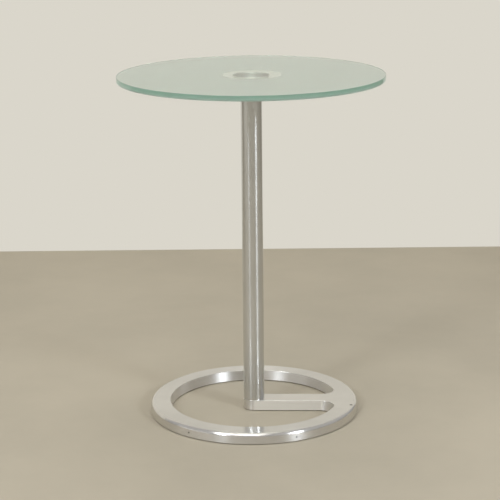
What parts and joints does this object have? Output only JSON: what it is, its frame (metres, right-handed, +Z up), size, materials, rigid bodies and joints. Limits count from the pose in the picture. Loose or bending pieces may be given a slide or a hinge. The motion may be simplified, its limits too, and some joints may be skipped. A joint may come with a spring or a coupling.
{
  "type": "glass side table",
  "caption": "Low round side table: a satin glass disc on a slim metal post that stands on an open flat metal ring with a single radial arm.",
  "frame": {"origin": "on the floor, on the axis of the post, which is also the centre of the glass and of the ring", "axes": "+Z up along the post, +X along the arm of the base from the post to the ring, +Y completing a right-handed frame"},
  "size_m": [0.4999, 0.5, 0.655],
  "materials": {
    "satin_glass": "etched satin underside with a clear round window, polished green edge",
    "clear_adhesive": "clear cured film",
    "turned_aluminium": "fine turned face",
    "post_aluminium": "polished tube with a fine grain round it",
    "cast_aluminium": "polished casting with a fine grain round the post's axis, satin sides on the arm",
    "plated_steel": "zinc plated",
    "glide_nylon": "moulded matte"
  },
  "bodies": {
    "root": {"glass_top": "satin_glass", "bond_film": "clear_adhesive", "top_plate": "turned_aluminium", "top_stud": "plated_steel", "upper_insert": "plated_steel", "post_tube": "post_aluminium", "lower_insert": "plated_steel", "locating_pin_1": "plated_steel", "locating_pin_2": "plated_steel", "ring_base": "cast_aluminium", "base_screw": "plated_steel", "lock_washer": "plated_steel", "glide_1": "glide_nylon", "glide_2": "glide_nylon", "glide_3": "glide_nylon", "glide_4": "glide_nylon", "glide_5": "glide_nylon", "glide_6": "glide_nylon"}
  },
  "joints": []
}
